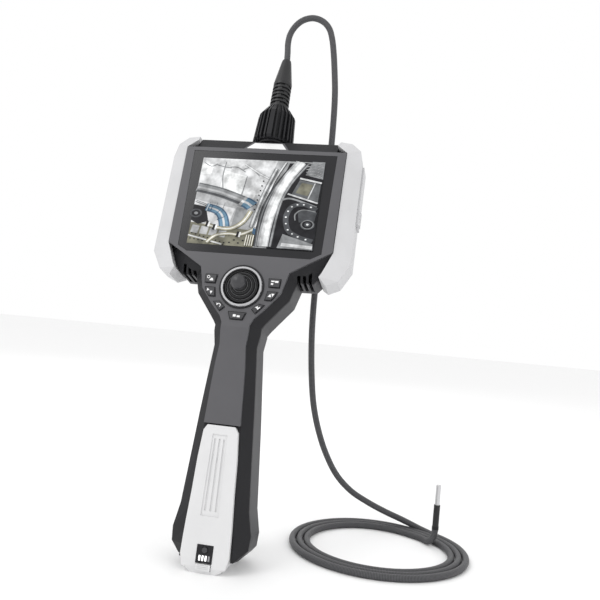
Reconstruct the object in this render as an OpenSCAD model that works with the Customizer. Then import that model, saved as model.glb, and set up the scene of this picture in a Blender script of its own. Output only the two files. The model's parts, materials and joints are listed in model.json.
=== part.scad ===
/* [Stance] */
// Backward lean of the handle, degrees
lean = 8; // [6:1:10]
// Backward tilt of the screen face, degrees
head_tilt = 16; // [14:1:18]
// Distance from the origin forward to the front of the handle's foot
base_front = 24; // [22:1:26]
// Height of the neck, measured up the handle
neck_s = 176.7; // [176:0.1:178]

/* [Shell] */
// Wall thickness of the two shells
wall = 2.4; // [2:0.1:2.8]
// Thickness of the face plate
plate_t = 2.4; // [2:0.1:2.6]
// Depth of the parting line behind the face
part_d = 11; // [10.6:0.1:11.4]
// Gap left at the parting line
part_gap = 0.2; // [0.1:0.05:0.3]
// Depth of the whole head
head_d = 40; // [39:0.5:41]

/* [Screen] */
// Width of the display's active area
screen_w = 101.6; // [98:0.1:102]
// Height of the display's active area
screen_h = 76.2; // [72:0.1:77]
// Height of the screen's centre above the joystick
screen_v = 71.1; // [70.8:0.1:71.4]

/* [Joystick] */
// Radius of the black collar round the joystick
collar_r = 17.4; // [17:0.1:17.5]
// Radius of the stick's ball cap
cap_r = 6; // [5.6:0.1:6.4]
// How far the cap stands out of the face
cap_reach = 16; // [15:0.5:17]
// Depth of the joystick's pivot behind the face
pivot_d = 6; // [5.9:0.05:6.1]
// Radius of the gimbal's pins
gimbal_pin_r = 1.25; // [1.2:0.01:1.3]
// Running clearance of pins and shafts in their bores
run = 0.05; // [0.03:0.01:0.08]

/* [Keys] */
// Height of the keys above the face plate
key_rise = 1.4; // [1.2:0.1:1.6]
// Gap round each key
key_gap = 0.35; // [0.3:0.05:0.4]

/* [Probe] */
// Diameter of the probe cable
cable_d = 5.4; // [5:0.1:5.5]
// Depth of the probe socket's axis behind the face
socket_d = 19; // [18.5:0.5:19.5]
// Radius of the coiled cable's outermost turn
coil_r = 71.7; // [70:0.1:73]
// Distance from one turn of the coil to the next
coil_pitch = 6; // [5.6:0.1:6.4]
// Number of turns in the coil
coil_turns = 3; // [3:1:3]
// Number of vertebrae in the bending tip
link_n = 6; // [6:1:6]
// Distance from one vertebra's hinge to the next
link_pitch = 2.9; // [2.8:0.05:3]
// Gap between vertebrae
link_gap = 0.9; // [0.85:0.05:1]
// Radius of the steel camera head
tip_r = 2.05; // [1.95:0.05:2.1]
// Length of the steel camera head
tip_l = 16.8; // [16:0.2:17]

/* [Battery] */
// Depth of the battery pack
pack_d = 40; // [39.5:0.1:40]
// Gap between the pack and its bay
pack_gap = 0.4; // [0.35:0.05:0.5]
// Radius of a cell
cell_r = 9; // [8.8:0.1:9.1]

/* [Hidden] */
$fn = 48;

dark = [0.05, 0.05, 0.055];
graphite = [0.25, 0.25, 0.26];
light_grey = [0.78, 0.78, 0.79];
board_green = [0.05, 0.25, 0.12];
bare_steel = [0.72, 0.72, 0.73];

// ---- outlines, given as [x, height] for the right half, from the top down ----

// The face plate's edge, and the front shell's edge under it
face_half = [
  [58.3, 119], [60, 119], [66.6, 118.8], [65.9, 33], [48, 22.2], [42, 18.5], [35.2, 14.3],
  [30.8, -3.2], [21.5, -15], [13.3, -24], [10.9, -29], [10.9, -42]
];
// The widest section of the head
side_half = [
  [58.2, 131], [58.2, 126], [66.4, 119.3], [66, 33], [58.6, 16.4], [53, 9.8], [40.6, 9.6],
  [36.5, -5], [25.5, -19], [20.5, -25.5], [18.3, -29], [18.3, -42]
];
// The flat back of the head
back_half = [
  [50, 124], [51, 120], [56, 113], [56, 38], [48, 22.4], [44, 17], [33, 15],
  [28, -6], [17.5, -19], [12.5, -25.5], [10.3, -29], [10.3, -42]
];
// The black-edged screen glass
glass_half = [[59.7, 115.7], [57.6, 30.8], [49.4, 26.2]];
// The opening behind the joystick and the keys
key_bay_half = [
  [30.9, 11.5], [29.8, -3.4], [26.2, -9.6], [21, -15.2], [15.4, -21.7], [9.6, -28]
];
// The keys beside and below the joystick
key_top_half = [[20.4, 8.2], [29.8, 8.2], [29.4, 1.2], [21.2, 1.2]];
key_mid_half = [[20.8, -2.2], [28.6, -2.2], [26.6, -6.8], [24.4, -9.4], [19.4, -9.4]];
key_low_half = [[15.4, -12.8], [20, -13.4], [14, -20.6], [10.6, -17.2]];
key_bottom_half = [[7, -20.4], [4.8, -26.2]];
// The bumper: where it meets the shell, and its outside
bumper_in = [
  [58.5, 126.2], [62.6, 123], [67, 119.6], [66.9, 113], [66.6, 62], [66.3, 33.2],
  [59.4, 16.4], [57.4, 13]
];
bumper_out = [
  [60, 132.6], [69.5, 131.2], [77, 124.8], [79.5, 113], [79.5, 62], [79.5, 27],
  [71.6, 12.6], [62.6, 8.4]
];

// The handle: [height, face half-width, side half-width, depth of the side, whole depth]
handle_rows = [
  [186, 10.9, 18.3, 32, 40], [173.7, 10.9, 18.3, 32, 40], [163, 10, 16.6, 32, 40],
  [147, 11.6, 18, 32.5, 41], [130, 12.6, 19.5, 33, 42], [112, 13.6, 21, 34, 43.6],
  [98, 14.4, 22, 35, 44.6], [45, 17.2, 26, 36, 46.4], [28, 18.4, 29.5, 36, 47],
  [18, 19.4, 28.8, 36, 47.4], [9, 19.6, 21.5, 36, 47.8], [-2, 13, 15, 36, 48]
];
// The handle's front panel, [half-width, height]
panel_half = [
  [10.9, 182], [10.9, 173.7], [10, 163], [11.6, 147], [12.6, 130], [13.5, 112], [13.9, 104.6]
];
// The battery pack's face, [half-width, height]
pack_half = [
  [10.4, 103.5], [13, 99.5], [14.7, 80], [15.8, 55], [17.1, 34.6], [17.6, 24.4], [18, 12.3],
  [16.2, 5], [16.2, -4]
];
// Height of the gap under the handle's lower edge
skirt_z = 9;
bay_top = 104.2;

// ---- the cable's route, [x, y, z] in the part's frame ----
cable_top_v = 218;
cable_route = [
  [-1, 92, 420], [-2, 94.5, 429], [-1.5, 97, 438], [2, 99, 446.5], [8.5, 100.5, 453],
  [17.5, 101.5, 455.5], [26.5, 101.5, 452.5], [33, 100.5, 445.5], [36.5, 99.5, 436],
  [39, 98.5, 424], [41.5, 97.5, 407], [44, 96, 385], [45, 95, 360],
  [45, 95, 330], [44, 95, 290], [43, 95, 250], [42, 95, 214], [42, 96, 185], [43, 98, 160],
  [45, 101, 135], [48, 105, 112], [53, 112, 90], [60, 121, 69], [70, 131, 49], [83, 141, 34],
  [98, 149, 24], [115, 154, 16], [132, 156, 10], [148, 153, 5]
];
// The coil lies flat behind and beside the foot
coil_x = 115;
coil_y = 90;
join_angle = 47;
// The inner end rises out of the coil to the camera
lead_route = [
  [145.5, 141.5, 3.2], [149, 136, 3], [152, 130.5, 2.9], [154.5, 125.5, 3.1], [157, 121, 4.5],
  [159, 117.5, 7.5], [160.4, 115, 11.8]
];
tip_x = 161;
tip_y = 114;
tip_z0 = 20;
link_z0 = tip_z0;
head_z0 = link_z0 + link_n * link_pitch + 0.2;

// ---- helpers ----

// The full outline of a right half given from the top down
function both(h) = concat(h, [for (i = [len(h) - 1:-1:0]) [-h[i].x, h[i].y]]);
function unit(a) = a / norm(a);
function right_of(a, b) = let (e = unit(b - a)) [e.y, -e.x];
// An outline moved inward by t, corner by corner (the outline runs clockwise)
function inset(p, t) = let (n = len(p)) [
  for (i = [0:n - 1])
    let (
      n1 = right_of(p[(i + n - 1) % n], p[i]),
      n2 = right_of(p[i], p[(i + 1) % n])
    )
    p[i] + (n1 + n2) * t / (1 + n1 * n2)
];
// An outline set at a depth, as a ring of points
function at_depth(p, d) = [for (q = p) [q.x, d, q.y]];

// A solid through a list of rings with equal numbers of points
module loft(rings) {
  n = len(rings[0]);
  m = len(rings);
  points = [for (r = rings) each r];
  sides = [
    for (k = [0:m - 2], i = [0:n - 1])
      let (j = (i + 1) % n)
      each [[k * n + i, k * n + n + j, k * n + j], [k * n + i, k * n + n + i, k * n + n + j]]
  ];
  first = [for (i = [0:n - 1]) i];
  last = [for (i = [n - 1:-1:0]) (m - 1) * n + i];
  polyhedron(points, concat([first], sides, [last]));
}

// A plate with the outline p, from depth d0 to depth d1
module slab(p, d0, d1)
  translate([0, d1, 0])
    rotate([90, 0, 0])
      linear_extrude(d1 - d0)
        polygon(p);

// A block from its two corners
module block(a, b)
  translate(a)
    cube(b - a);

// A cylinder that runs back from depth d0 to depth d1 at [x, v]
module rod(x, v, r, d0, d1)
  translate([x, d0, v])
    rotate([-90, 0, 0])
      cylinder(r = r, h = d1 - d0);

module handle_frame()
  translate([0, -base_front, 0])
    rotate([-lean, 0, 0])
      children();

neck_drop = 32;
module neck_frame(part)
  handle_frame()
    translate([0, 0, neck_s])
      rotate([-(head_tilt - lean) * part, 0, 0])
        children();

module head_frame()
  neck_frame(1)
    translate([0, 0, neck_drop])
      children();

big = 400;
// The head and the handle meet at the neck's mitre plane and lap a little there
mitre_lap = 0.25;
module above_neck()
  intersection() {
    children();
    neck_frame(0.5) translate([-big / 2, -big / 2, -mitre_lap]) cube(big);
  }
module below_neck()
  intersection() {
    children();
    neck_frame(0.5) translate([-big / 2, -big / 2, mitre_lap - big]) cube(big);
  }
// Keeps what lies above a height over the floor
module above_floor(z)
  intersection() {
    children();
    translate([-big / 2, -big / 2, z]) cube(big);
  }

// ---- shells ----

function handle_ring(r, d0, t) = let (
    w0 = r[1] - t * 0.7,
    w1 = r[2] - t,
    a = d0 + 6.6 - t * 0.5,
    b = r[3] - t * 0.4,
    back = r[4] - t,
    w2 = r[2] - 8 - t * 0.7
  )
  [[w0, d0, r[0]], [w1, a, r[0]], [w1, b, r[0]], [w2, back, r[0]],
   [-w2, back, r[0]], [-w1, b, r[0]], [-w1, a, r[0]], [-w0, d0, r[0]]];

// The handle's skin; front is the depth where it starts and t how far it is drawn in
module handle_body(front, t, top, low)
  loft([
    for (i = [len(handle_rows) - 1:-1:0])
      let (r = handle_rows[i])
      if (r[0] <= top && r[0] >= low) handle_ring(r, front, t)
  ]);

module head_skin()
  loft([
    at_depth(both(face_half), plate_t), at_depth(both(side_half), 9),
    at_depth(both(side_half), 32), at_depth(both(back_half), head_d)
  ]);

module head_hollow()
  intersection() {
    loft([
      at_depth(inset(both(face_half), 1.7), plate_t + 2), at_depth(inset(both(side_half), wall), 9.6),
      at_depth(inset(both(side_half), wall), 31), at_depth(inset(both(back_half), wall), head_d - wall)
    ]);
    block([-big, -big, -neck_drop - 1], [big, big, big]);
  }

module body_skin() {
  above_neck() head_frame() head_skin();
  above_floor(skirt_z) below_neck() handle_frame() handle_body(plate_t, 0, 186, -2);
}

module body_hollow() {
  head_frame() head_hollow();
  handle_frame() intersection() {
    handle_body(plate_t + 2, wall, 186, 98);
    block([-big, -big, bay_top + 6], [big, big, neck_s + 4]);
  }
}

// The bay that the battery pack slides up into, open at the bottom
module battery_bay()
  handle_frame() {
    bay = [
      for (p = pack_half) if (p.y > 6) [p.x + pack_gap, p.y > 103 ? bay_top : p.y],
      [18.4, -20]
    ];
    slab(both(bay), -9, pack_d + pack_gap);
    // Room for the terminal block above the pack
    block([-9, 8, bay_top - 1], [9, 30, bay_top + 7]);
  }

// The parting line in side view, bent at the neck: [depth, height] in the handle's frame
bend = head_tilt - lean;
reach = 300;
function bend_line(d) = let (corner = neck_s - d * tan(bend / 2)) [
  [d, -reach], [d, corner], [d + reach * sin(bend), corner + reach * cos(bend)]
];
// Everything on one side of the parting line at depth d, out to the depth far
module split(d, far)
  handle_frame()
    translate([-reach / 2, 0, 0])
      rotate([90, 0, 90])
        linear_extrude(reach)
          polygon(concat(bend_line(d), [[far, neck_s + reach], [far, -reach]]));

// Head screws, [x, height], and handle screws, [height, depth of the seat under the screw's head]
screw_spots = [[59.3, 111], [59.3, 40], [-59.3, 111], [-59.3, 40]];
head_seat_d = 30;
handle_screws = [[162, 35.5], [122, 38]];
screw_r = 1.25;
screw_head_r = 2.7;

// Rods along every screw's line, reaching past its seat by extra
module screw_rods(r, d0, d1, extra) {
  head_frame()
    for (p = screw_spots) rod(p.x, p.y, r, d0, min(d1, head_seat_d + extra));
  handle_frame()
    for (s = handle_screws) rod(0, s[0], r, d0, min(d1, s[1] + extra));
}
module screw_recesses() {
  head_frame()
    for (p = screw_spots) rod(p.x, p.y, screw_head_r + 0.3, head_seat_d, 60);
  handle_frame()
    for (s = handle_screws) rod(0, s[0], screw_head_r + 0.3, s[1], 60);
}

socket_hole_r = 10.6;
module socket_cut()
  head_frame()
    translate([0, socket_d, 110])
      cylinder(r = socket_hole_r, h = 40);

// Three cooling slots through each shoulder
module vents()
  head_frame()
    for (side = [-1, 1], x = [41.6, 46, 50.4])
      block([side * x - 1.3, 5.5, -4], [side * x + 1.3, 27, 17.6]);

// One half of the case with its openings, kept as a single plain mesh
module case_half(bore, ream)
  resize([0, 0, 0])
    difference() {
      union() {
        difference() {
          intersection() {
            body_skin();
            children(0);
          }
          body_hollow();
        }
        children(1);
      }
      battery_bay();
      vents();
      socket_cut();
      head_frame() {
        // Window behind the screen, and the bay behind the keys
        block([-54.6, 0, screen_v - 41.6], [54.6, 6, screen_v + 41.6]);
        slab(both(key_bay_half), 0, 6);
        rod(0, 0, collar_r + 1.2, 0, 6);
      }
      screw_rods(bore, plate_t + 3, 60, 30);
      if (ream) screw_recesses();
    }

module front_shell()
  color(dark)
    case_half(screw_r + run, false, $fn = 24) {
      split(part_d - part_gap / 2, -reach / 2);
      screw_rods(3.2, plate_t + 1.8, part_d - part_gap / 2, 0);
    }

module rear_shell()
  color(graphite)
    case_half(screw_r + 0.2, true, $fn = 24) {
      split(part_d + part_gap / 2, reach / 2);
      screw_rods(4.2, part_d + part_gap / 2, 100, 4);
    }

// A soft ring between the shells, round the head
module shell_gasket()
  color(dark)
    above_neck() head_frame()
      difference() {
        slab(inset(both(side_half), 0.9), part_d - part_gap / 2, part_d + part_gap / 2);
        slab(inset(both(side_half), 1.9), 0, 20);
        translate([0, socket_d, 110]) cylinder(r = socket_hole_r, h = 40);
        for (side = [-1, 1], x = [41.6, 46, 50.4])
          block([side * x - 1.4, 5, -4], [side * x + 1.4, 27, 18]);
      }

module screw(x, v, top)
  union() {
    rod(x, v, screw_r, plate_t + 4, top);
    difference() {
      rod(x, v, screw_head_r, top, top + 2.2);
      rod(x, v, 1.2, top + 1, top + 3);
    }
  }

module housing_screws()
  color(bare_steel) {
    head_frame()
      for (p = screw_spots) screw(p.x, p.y, head_seat_d);
    handle_frame()
      for (s = handle_screws) screw(0, s[0], s[1]);
  }

module face_plate()
  color(graphite) {
    above_neck() head_frame()
      difference() {
        slab(both(face_half), 0, plate_t);
        slab(both(glass_half), -1, plate_t + 1);
        rod(0, 0, collar_r + 0.1, -1, plate_t + 1);
        for (k = [key_top_half, key_mid_half, key_low_half]) {
          slab(inset(k, -key_gap), -1, plate_t + 1);
          mirror([1, 0, 0]) slab(inset(k, -key_gap), -1, plate_t + 1);
        }
        slab(inset(both(key_bottom_half), -key_gap), -1, plate_t + 1);
      }
    below_neck() handle_frame()
      slab(both(panel_half), 0, plate_t);
  }

// The chamfer above the screen runs from the plate's top edge to the shell's top edge
chamfer_rise = 12;
chamfer_depth = 9 - plate_t;
module badge_plate()
  color("white")
    head_frame()
      translate([0, plate_t, 119])
        rotate([-atan2(chamfer_depth, chamfer_rise), 0, 0]) {
          slab([[-17, 1.6], [-11.8, 10.4], [11.8, 10.4], [17, 1.6]], -1, 0);
          difference() {
            slab([[-19, 0.8], [-13, 11.4], [13, 11.4], [19, 0.8]], -0.8, 0);
            slab([[-17.1, 1.5], [-11.9, 10.5], [11.9, 10.5], [17.1, 1.5]], -2, 1);
          }
        }

// ---- bumpers ----

bumper_front = 1.2;
bumper_side = 7;
module bumper_body()
  head_frame()
    loft([
      for (i = [len(bumper_in) - 1:-1:0])
        let (a = bumper_in[i], b = bumper_out[i])
        [
          [a.x, bumper_front, a.y], [b.x, bumper_side, b.y],
          [b.x, 28, b.y], [a.x, 33.5, a.y]
        ]
    ]);

module left_bumper()
  color(light_grey)
    mirror([1, 0, 0]) bumper_body();

// The port cover's seat, its hinge line and the bay behind it
cover_v = [62, 112];
hinge_x = 78;
hinge_d = 26.9;
hinge_pin_r = 0.8;
hinge_groove_r = 2.3;
module right_bumper()
  color(light_grey)
    difference() {
      bumper_body();
      head_frame() {
        block([77.6, 9.6, cover_v[0] - 0.4], [90, hinge_d, cover_v[1] + 0.4]);
        block([68.4, 12, 66], [79, 24, 108]);
        translate([hinge_x, hinge_d, cover_v[0] - 0.4])
          cylinder(r = hinge_groove_r, h = cover_v[1] - cover_v[0] + 0.8);
        translate([hinge_x, hinge_d, cover_v[0] - 6.4])
          cylinder(r = hinge_pin_r + run, h = cover_v[1] - cover_v[0] + 12.8);
      }
    }

module port_cover()
  color(light_grey)
    head_frame() {
      difference() {
        union() {
          block([77.9, 10, cover_v[0]], [80.9, 25.7, cover_v[1]]);
          block([79, 10, cover_v[0]], [82.4, 18, cover_v[0] + 12]);
          block([77.9, 25, cover_v[0]], [79.3, hinge_d, cover_v[1]]);
          translate([hinge_x, hinge_d, cover_v[0]])
            cylinder(r = 1.5, h = cover_v[1] - cover_v[0]);
        }
        for (i = [1:4])
          block([81.9, 8, cover_v[0] + 2.4 * i - 0.4], [83, 20, cover_v[0] + 2.4 * i + 0.4]);
      }
      translate([hinge_x, hinge_d, cover_v[0] - 6])
        cylinder(r = hinge_pin_r, h = cover_v[1] - cover_v[0] + 12);
    }

module port_block()
  color(bare_steel)
    head_frame()
      difference() {
        block([68.4, 13, 68], [71.8, 23, 106]);
        block([69.4, 16.4, 72], [73, 19.6, 81]);
        block([69.4, 17, 85], [73, 19, 97]);
        translate([73, 18, 102]) rotate([0, -90, 0]) cylinder(r = 1.8, h = 3.6);
      }

// ---- display and boards ----

module screen_glass()
  color(dark)
    head_frame()
      slab(inset(both(glass_half), 0.15), 0.3, plate_t);

// The rim of the panel round its active area
panel_rim = 3;
panel_x = screen_w / 2 + panel_rim;
panel_v = screen_h / 2 + panel_rim;
module display_panel()
  color(graphite)
    head_frame()
      block([-panel_x, plate_t, screen_v - panel_v], [panel_x, 6.2, screen_v + panel_v]);

module display_bracket()
  color(bare_steel)
    head_frame()
      difference() {
        block([-55.5, 6.2, screen_v - 42], [55.5, 7.8, screen_v + 42]);
        block([-46, 5, screen_v - 32], [46, 9, screen_v + 32]);
      }

module main_board()
  color(board_green)
    head_frame() {
      block([-53, 10.6, 34], [53, 12.2, 110]);
      for (p = [[-34, 50, 9], [0, 60, 7], [30, 52, 8], [-30, 100, 5], [32, 101, 5]])
        block([p.x - p.z, 12.2, p.y - p.z], [p.x + p.z, 14.2, p.y + p.z]);
      for (x = [-10, 10])
        block([x - 4, 12.2, 36], [x + 4, 17, 40]);
      // Stand-offs that carry the board on the bracket
      for (x = [-50, 50], v = [37, 106])
        rod(x, v, 2.4, 7.8, 10.6);
    }

board_d = 5.4;
module key_board()
  color(board_green)
    head_frame()
      difference() {
        slab(inset(both(key_bay_half), 0.3), board_d, board_d + 1.4);
        rod(0, 0, 15.4, board_d - 1, board_d + 3);
      }

// ---- joystick ----

module joystick_collar()
  color(dark)
    head_frame()
      difference() {
        union() {
          rod(0, 0, collar_r, -1, plate_t + 1);
          rod(0, 0, collar_r + 1, plate_t, plate_t + 1);
        }
        rod(0, 0, 16.3, -2, plate_t + 2);
      }

module joystick_bezel()
  color(bare_steel)
    head_frame()
      rotate([-90, 0, 0])
        rotate_extrude()
          polygon([
            [16.3, plate_t + 1], [16.3, -1.2], [15.8, -1.9], [14.4, -1.9], [13.6, -1],
            [13.6, plate_t + 1]
          ]);

// A rubber bellows: ripples that climb from the bezel to the stick
boot_rim_r = 13.6;
boot_ripples = 4;
boot_step = 2.2;
boot_t = 0.7;
function boot_line() = [
  [boot_rim_r, plate_t], [boot_rim_r, -0.2],
  for (i = [0:boot_ripples - 1]) each [
    [boot_rim_r - 0.6 - boot_step * i, -1.2 - 1.55 * i],
    [boot_rim_r - 1.5 - boot_step * i, -0.7 - 1.55 * i]
  ],
  [3.3, -7.2], [3.3, -8.2]
];
module joystick_boot()
  color(dark)
    head_frame()
      rotate([-90, 0, 0])
        rotate_extrude()
          polygon(concat(
            boot_line(),
            [for (i = [len(boot_line()) - 1:-1:0]) boot_line()[i] + [-boot_t, boot_t * 0.9]]
          ));

module joystick_cap()
  color(dark)
    head_frame()
      rotate([-90, 0, 0])
        rotate_extrude()
          difference() {
            polygon([
              [0, -cap_reach],
              for (a = [75:-15:0]) [cap_r * cos(a), -cap_reach + 5 - 5 * sin(a)],
              [cap_r - 0.6, -cap_reach + 7], [3.6, -cap_reach + 7.4], [0, -cap_reach + 7.4]
            ]);
            translate([0, -cap_reach + 3]) square([2, 6]);
          }

module joystick_stem()
  color(bare_steel)
    head_frame() {
      rod(0, 0, 2, -cap_reach + 3, pivot_d);
      translate([0, pivot_d, 0]) {
        sphere(r = 3.6, $fn = 32);
        translate([0, 0, -8.6]) cylinder(r = gimbal_pin_r, h = 17.2);
      }
    }

module joystick_gimbal()
  color(bare_steel)
    head_frame()
      translate([0, pivot_d, 0])
        difference() {
          union() {
            rotate([90, 0, 0]) cylinder(r = 8.8, h = 4, center = true);
            rotate([0, 90, 0]) cylinder(r = gimbal_pin_r, h = 24, center = true);
          }
          rotate([90, 0, 0]) cylinder(r = 6.2, h = 6, center = true);
          cylinder(r = gimbal_pin_r + run, h = 30, center = true);
        }

module joystick_base()
  color(graphite)
    head_frame()
      difference() {
        union() {
          block([-22, 12.2, -12], [22, 15, 10]);
          for (x = [-1, 1]) {
            block([x * 11.2 - 1.6, 3.6, -3.4], [x * 11.2 + 1.6, 12.4, 3.4]);
            // Posts that hold the key board, and legs that stand on the rear shell
            rod(x * 18.5, 7, 2, board_d + 1.4, 12.4);
            rod(x * 14, -9.6, 2, board_d + 1.4, 12.4);
            rod(x * 17, 5, 2.4, 14.8, head_d - wall);
            rod(x * 12, -8, 2.4, 14.8, head_d - wall);
          }
        }
        translate([0, pivot_d, 0])
          rotate([0, 90, 0])
            cylinder(r = gimbal_pin_r + run, h = 30, center = true);
      }

// ---- keys ----

module key(outline)
  color(dark)
    head_frame() {
      slab(outline, 0, board_d - 1.5);
      slab(inset(outline, 0.4), -key_rise, 0);
    }

module key_top_right() key(key_top_half);
module key_mid_right() key(key_mid_half);
module key_low_right() key(key_low_half);
module key_bottom() key(both(key_bottom_half));
module key_top_left() mirror([1, 0, 0]) key_top_right();
module key_mid_left() mirror([1, 0, 0]) key_mid_right();
module key_low_left() mirror([1, 0, 0]) key_low_right();

// ---- steering drive ----

drum_x = 20;
drum_v = 76;
shaft_r = 1.5;
motor_r = 8;
module drive_frame()
  color(bare_steel)
    head_frame() {
      difference() {
        block([-34, 24, drum_v - 12], [34, 25.6, drum_v + 12]);
        for (x = [-drum_x, drum_x]) rod(x, drum_v, 4.2, 20, 30);
      }
      for (x = [-31, 31], v = [drum_v - 9, drum_v + 9]) rod(x, v, 2, 12.2, 24);
    }

module drive_motors()
  color(graphite)
    head_frame()
      for (x = [-drum_x, drum_x]) {
        rod(x, drum_v, motor_r, 25.6, 36.6);
        rod(x, drum_v, 4, 24, 25.6);
        rod(x, drum_v, shaft_r, 15, 24);
      }

module drum(x)
  color(light_grey)
    head_frame()
      translate([x, 0, drum_v])
        rotate([-90, 0, 0])
          rotate_extrude()
            polygon([
              [shaft_r + run, 16], [9, 16], [9, 17.2], [7.4, 17.8], [7.4, 20.2], [9, 20.8],
              [9, 22], [shaft_r + run, 22]
            ]);

module tilt_drum() drum(-drum_x);
module pan_drum() drum(drum_x);

// ---- probe connector ----

socket_top = 149;
neck_r = 11;
nut_low = 133;
nut_top = 168.4;
nut_shoulder = 156.4;
module on_socket()
  head_frame()
    translate([0, socket_d, 0])
      children();

module probe_socket()
  color(bare_steel)
    on_socket()
      difference() {
        union() {
          translate([0, 0, 118]) cylinder(r = socket_hole_r - 0.2, h = 13);
          translate([0, 0, 131]) cylinder(r = 13, h = 1.6);
          translate([0, 0, 132.6]) cylinder(r = neck_r, h = socket_top - 132.6);
        }
        translate([0, 0, 121]) cylinder(r = 8.1, h = 40);
      }

module socket_oring()
  color(dark)
    on_socket()
      translate([0, 0, socket_top + 0.8])
        rotate_extrude()
          translate([9.6, 0]) circle(r = 0.8, $fn = 24);

module probe_plug()
  color(dark)
    on_socket() {
      translate([0, 0, 121]) cylinder(r = 8, h = 31);
      translate([0, 0, socket_top + 1.6]) cylinder(r = neck_r, h = 4.4);
      translate([0, 0, 155]) cylinder(r = 7.2, h = nut_top + 1.6 - 155);
    }

// The nut's outside: [height, root radius, fin radius, extra radius of a wide fin]
fin_n = 24;
fin_angle = 2.6;
wide_fin_angle = 7;
nut_rows = [
  [nut_low, 14.2, 15.2, 0.8], [nut_low + 2, 14.2, 16.4, 1], [nut_low + 3, 13.2, 16.4, 1],
  [159.6, 12.8, 15.2, 0.6], [nut_top - 0.8, 8.8, 10, 0.3], [nut_top, 8.4, 9.2, 0.2]
];
function nut_ring(row) = [
  for (i = [0:fin_n - 1])
    let (
      wide = i % 6 == 0,
      half = wide ? wide_fin_angle : fin_angle,
      tip = row[2] + (wide ? row[3] : 0)
    )
    for (q = [[row[1], -half], [tip, -half], [tip, half], [row[1], half]])
      let (a = i * 360 / fin_n + q[1]) [q[0] * cos(a), q[0] * sin(a), row[0]]
];
module coupling_nut()
  color(dark)
    on_socket()
      resize([0, 0, 0]) difference() {
        loft([for (row = nut_rows) nut_ring(row)]);
        translate([0, 0, nut_low - 1]) cylinder(r = neck_r + run + 0.03, h = nut_shoulder - nut_low + 1);
        translate([0, 0, nut_low]) cylinder(r = 7.2 + run + 0.03, h = 60);
      }

// A ribbed sleeve that keeps the cable from kinking at the plug
boot_rows = 6;
boot_low = nut_top + 0.5;
row_h = 3.6;
module strain_relief()
  color(dark)
    on_socket() {
      rotate_extrude()
        polygon([
          [0, nut_top + 1.6], [7.2, nut_top + 1.6], [7.2, boot_low], [8.3, boot_low], [8.3, boot_low + 2],
          for (i = [0:boot_rows - 1])
            let (z = boot_low + 2 + i * row_h)
            each [[6.8, z], [6.8, z + row_h - 1.4], [8.2 - i * 0.06, z + row_h - 1.4],
                  [8.2 - i * 0.06, z + row_h]],
          [8, 193.6], [4.4, cable_top_v - 2], [3.9, cable_top_v], [0, cable_top_v]
        ]);
      for (i = [0:boot_rows - 1], a = [0, 90, 180, 270])
        rotate(a + (i % 2) * 45)
          translate([-1.8, 5, boot_low + 1.5 + i * row_h])
            cube([3.6, 2.4, row_h - 0.6]);
    }

// ---- cable ----

tube_sides = 10;
cable_r = cable_d / 2;
boot_exit = let (
    s = sin(head_tilt),
    c = cos(head_tilt),
    up = neck_drop + cable_top_v
  )
  [0,
   -base_front + neck_s * sin(lean) + up * s + socket_d * c,
   neck_s * cos(lean) + up * c - socket_d * s];

// A smooth curve through the route's points
function spline(p, i, t) = let (
    n = len(p) - 1,
    a = p[max(i - 1, 0)],
    b = p[i],
    c = p[min(i + 1, n)],
    d = p[min(i + 2, n)]
  )
  0.5 * (2 * b + (c - a) * t + (2 * a - 5 * b + 4 * c - d) * t * t + (3 * b - a - 3 * c + d) * t * t * t);
function smooth(p, k) = concat(
  [for (i = [0:len(p) - 2], j = [0:k - 1]) spline(p, i, j / k)],
  [p[len(p) - 1]]
);

// A round tube along a list of points
function frames(p, i, side) = let (
    n = len(p) - 1,
    along = unit(p[min(i + 1, n)] - p[max(i - 1, 0)]),
    flat = unit(side - along * (side * along)),
    out = cross(along, flat)
  )
  concat([[flat, out]], i < n ? frames(p, i + 1, flat) : []);
module tube(p, r, sides, start_side) {
  f = frames(p, 0, start_side);
  loft([
    for (i = [0:len(p) - 1])
      [for (a = [0:360 / sides:359]) p[i] - r * (cos(a) * f[i][0] + sin(a) * f[i][1])]
  ]);
}

coil_join = [
  coil_x + coil_r * cos(join_angle), coil_y + coil_r * sin(join_angle), cable_r
];
module probe_cable()
  color(dark)
    tube(smooth(concat([boot_exit], cable_route, [coil_join]), 2), cable_r, tube_sides, [1, 0, 0]);

module probe_coil()
  color(dark)
    translate([coil_x, coil_y, cable_r])
      rotate_extrude($fn = 96)
        union() {
          for (i = [0:coil_turns - 1])
            translate([coil_r - i * coil_pitch, 0]) circle(r = cable_r, $fn = 24);
          translate([coil_r - (coil_turns - 1) * coil_pitch, -1])
            square([(coil_turns - 1) * coil_pitch, 2]);
        }

module probe_lead()
  color(dark)
    tube(
      smooth(concat(lead_route, [[tip_x, tip_y, tip_z0 - 3]]), 2),
      cable_r, tube_sides, [0, 0, 1]
    );

// ---- bending tip and camera ----

module at_tip(z)
  translate([tip_x, tip_y, z])
    children();

link_r = 2.6;
link_bore = 1.2;
module bend_base()
  color(dark)
    at_tip(tip_z0 - 3)
      difference() {
        cylinder(r = link_r + 0.3, h = 3 - link_gap / 2);
        translate([0, 0, 0.6]) cylinder(r = link_bore, h = 5);
      }

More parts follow.
